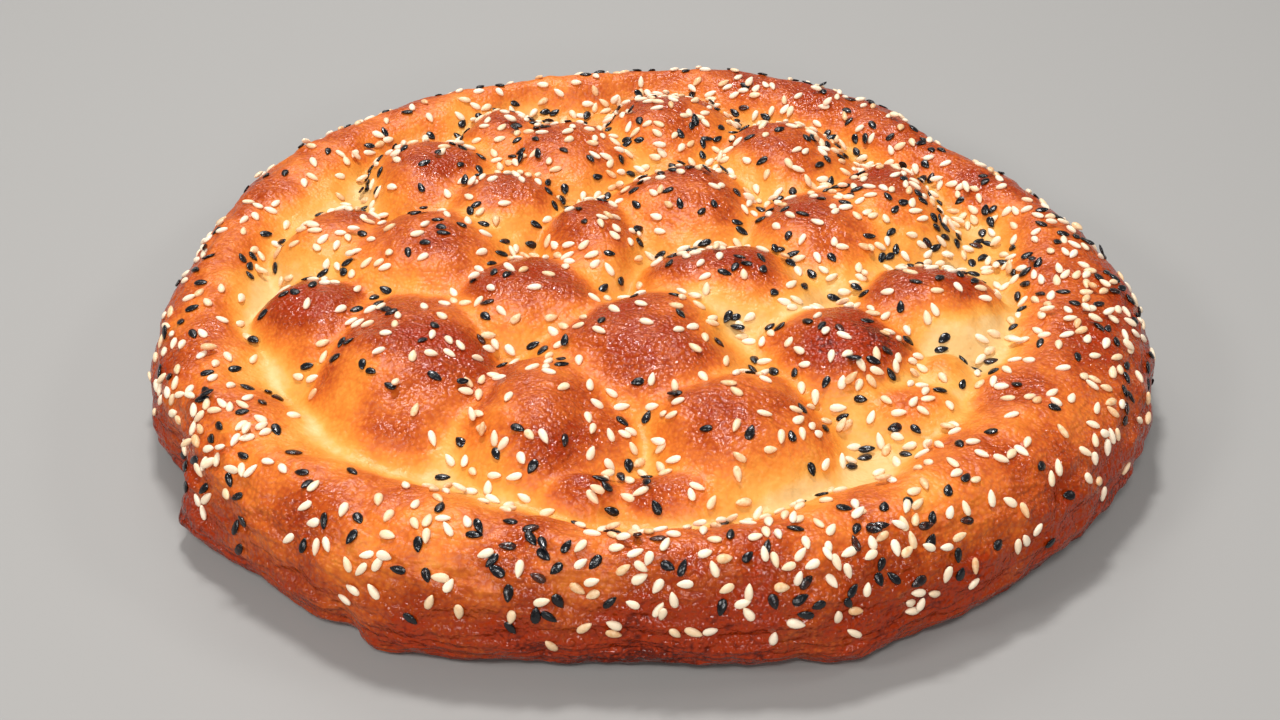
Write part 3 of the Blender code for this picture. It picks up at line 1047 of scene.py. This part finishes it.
# %% The seed tree
WHITE_SIZES = {"Length": 0.0036, "Width": 0.0019, "Thickness": 0.0013, "Dish": 0.0, "Seed": 4}
BLACK_SIZES = {"Length": 0.0035, "Width": 0.0020, "Thickness": 0.0011, "Dish": 0.4, "Seed": 9}
DROP_GIRTH = 1.2  # makes up for the width that the drop loses towards its point
SEED_INPUTS = (
    ("Length", 0.0033),
    ("Width", 0.0020),
    ("Thickness", 0.0011),
    ("Point", 0.25),
    ("Dish", 0.0),
    ("Size spread", 0.13),
    ("Sides", 8),
    ("Bands", 6),
    ("Seed", 1),
)


def store(tree, geometry, name, value, kind, domain):
    """Keeps a value on the geometry as an attribute of this name."""
    settings = {"data_type": kind, "domain": domain}
    links = {"Geometry": geometry, "Name": name, "Value": value}
    return place_node(tree, "GeometryNodeStoreNamedAttribute", settings, **links).outputs[0]


def random_values(tree, kind, **links):
    return place_node(tree, "FunctionNodeRandomValue", {"data_type": kind}, **links).outputs


def build_seed_tree(name, material):
    tree, sizes = new_tree(name, SEED_INPUTS)
    ball = place_node(
        tree, "GeometryNodeMeshUVSphere", Segments=sizes["Sides"], Rings=sizes["Bands"], Radius=1.0
    ).outputs["Mesh"]
    place = tree.nodes.new("GeometryNodeInputPosition").outputs[0]
    side, up, along = place_node(tree, "ShaderNodeSeparateXYZ", Vector=place).outputs
    behind = times(tree, minus(tree, 1.0, along), 0.5)
    girth = times(tree, math_node(tree, "POWER", behind, sizes["Point"]), DROP_GIRTH)
    inner = minus(tree, 1.0, math_node(tree, "ABSOLUTE", side))
    dished = minus(tree, 1.0, times(tree, inner, sizes["Dish"]))
    half_length, half_width, half_thick = (
        times(tree, sizes[label], 0.5) for label in ("Length", "Width", "Thickness")
    )
    x = times(tree, along, half_length)
    y = times(tree, times(tree, side, half_width), girth)
    z = times(tree, times(tree, up, half_thick), dished)
    drop_place = place_node(tree, "ShaderNodeCombineXYZ", X=x, Y=y, Z=z).outputs[0]
    drop = place_node(tree, "GeometryNodeSetPosition", Geometry=ball, Position=drop_place).outputs[0]
    smooth = place_node(tree, "GeometryNodeSetShadeSmooth", Geometry=drop).outputs[0]
    kept = store(tree, smooth, "on_seed", place, "FLOAT_VECTOR", "POINT")
    rotation = place_node(
        tree,
        "FunctionNodeAxesToRotation",
        {"primary_axis": "Z", "secondary_axis": "X"},
        i0=read_values(tree, "out", "FLOAT_VECTOR"),
        i1=read_values(tree, "along", "FLOAT_VECTOR"),
    ).outputs[0]
    smallest = minus(tree, 1.0, sizes["Size spread"])
    largest = plus(tree, 1.0, sizes["Size spread"])
    size = random_values(tree, "FLOAT_VECTOR", i0=smallest, i1=largest, Seed=sizes["Seed"])[0]
    strewn = place_node(
        tree,
        "GeometryNodeInstanceOnPoints",
        Points=sizes["Geometry"],
        Instance=kept,
        Rotation=rotation,
        Scale=size,
    ).outputs[0]
    shade = random_values(tree, "FLOAT", Seed=sizes["Seed"])[1]
    return finish_tree(tree, store(tree, strewn, "shade", shade, "FLOAT", "INSTANCE"), material)


# %% [markdown]
# ## The seeds' finish
# White sesame is creamy and satin, and toasted towards its point. The black kind is not truly black: its
# coat is a blue-grey black with a crisp gloss, and a few seeds are brown.

# %% Seed materials
WHITE_RAMP = (
    (0.0, (226, 172, 118)),
    (0.12, (238, 202, 158)),
    (0.4, (243, 218, 184)),
    (1.0, (247, 228, 202)),
)
BLACK_RAMP = (
    (0.0, (70, 30, 16)),
    (0.08, (22, 16, 18)),
    (0.3, (10, 10, 13)),
    (1.0, (17, 18, 23)),
)
MOTTLE_SPACING = 0.0009
MOTTLE_DEPTH = 0.4
PIT_SPACING = 0.0006
SEED_DETAIL = 2.0


def build_toast_group():
    """A seed's own shade, darkened towards the pointed tip where it toasts first."""
    group, given = new_group("toasted_tip", "Shade", "Tip", "Toasting")
    towards_tip = math_node(group, "MAXIMUM", given["Tip"], 0.0)
    toasted = times(group, towards_tip, given["Toasting"])
    return put_out(group, minus(group, given["Shade"], toasted))


def seed_material(name, stops, toasting, roughness, pit_depth):
    """A seed's coat. Toasting is how far down the ramp its tip lies."""
    material, tree, shader = new_material(name)
    place = tree.nodes.new("ShaderNodeTexCoord").outputs["Object"]
    on_seed = shader_values(tree, "on_seed", "Vector")
    tip = place_node(tree, "ShaderNodeSeparateXYZ", Vector=on_seed).outputs[2]
    shade = shader_values(tree, "shade")
    toasted = place_group(tree, toast_group, Shade=shade, Tip=tip, Toasting=toasting)
    mottled = speckle(tree, place, MOTTLE_SPACING, SEED_DETAIL, MOTTLE_DEPTH)
    colour_by(tree, plus(tree, toasted, mottled), stops, shader)
    bump_by(tree, speckle(tree, place, PIT_SPACING, SEED_DETAIL, pit_depth), shader)
    shader["Roughness"].default_value = roughness
    return material


toast_group = build_toast_group()
white_coat = seed_material("white_seed_coat", WHITE_RAMP, toasting=0.35, roughness=0.42, pit_depth=0.00006)
black_coat = seed_material("black_seed_coat", BLACK_RAMP, toasting=0.25, roughness=0.2, pit_depth=0.00012)

# %% [markdown]
# ## Strewing them
# The seeds' places become a mesh of bare points with the attributes that the tree reads. Each kind is one
# piece. A seed sinks a little into the glaze, and one that lies on another is lifted and leans.

# %% The two kinds of seed
SUNK = 0.25  # share of a seed's thickness that is below the crust
RESTS_ON = 0.85  # how far up, in thicknesses, a seed lies that rests on another
TILT = 0.10  # how much a seed tips at random, as a slope
LEAN = 0.22  # how much more where it lies on another


def strewn_points(name, kind, thickness, draw):
    places, outs, alongs = [], [], []
    for seed in seeds:
        if seed.kind != kind:
            continue
        rise = thickness * (0.5 - SUNK + RESTS_ON * seed.lift)
        tilt = draw.normal() * (TILT + LEAN * seed.lift)
        lean = draw.normal() * (TILT + LEAN * seed.lift)
        tilted = seed.out + seed.along * tilt + seed.across * lean
        places.append(seed.spot + seed.out * rise)
        outs.append(tilted / np.linalg.norm(tilted))
        alongs.append(seed.along - seed.out * tilt)
    mesh = bpy.data.meshes.new(name)
    mesh.from_pydata([tuple(place) for place in places], [], [])
    add_values(mesh, "out", np.array(outs))
    add_values(mesh, "along", np.array(alongs))
    return show(bpy.data.objects.new(name, mesh))


seed_draw = np.random.default_rng(DRAW + 1)
pieces = {}
for name, kind, material, sizes in (
    ("white_sesame", 0, white_coat, WHITE_SIZES),
    ("black_sesame", 1, black_coat, BLACK_SIZES),
):
    piece = strewn_points(name, kind, sizes["Thickness"], seed_draw)
    apply_tree(piece, build_seed_tree(name + "_tree", material), **sizes)
    pieces[name] = piece
    print(name, len(piece.data.polygons), "faces")

# %% [markdown]
# ## Hand over
# All three pieces stand for the one solid and move with it.

# %% Ride and replace
slots = (
    (bread, "crust"),
    (pieces["white_sesame"], "pale_sesame"),
    (pieces["black_sesame"], "black_sesame"),
)
for piece, slot in slots:
    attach(piece, "root")
    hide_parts("flatbread")
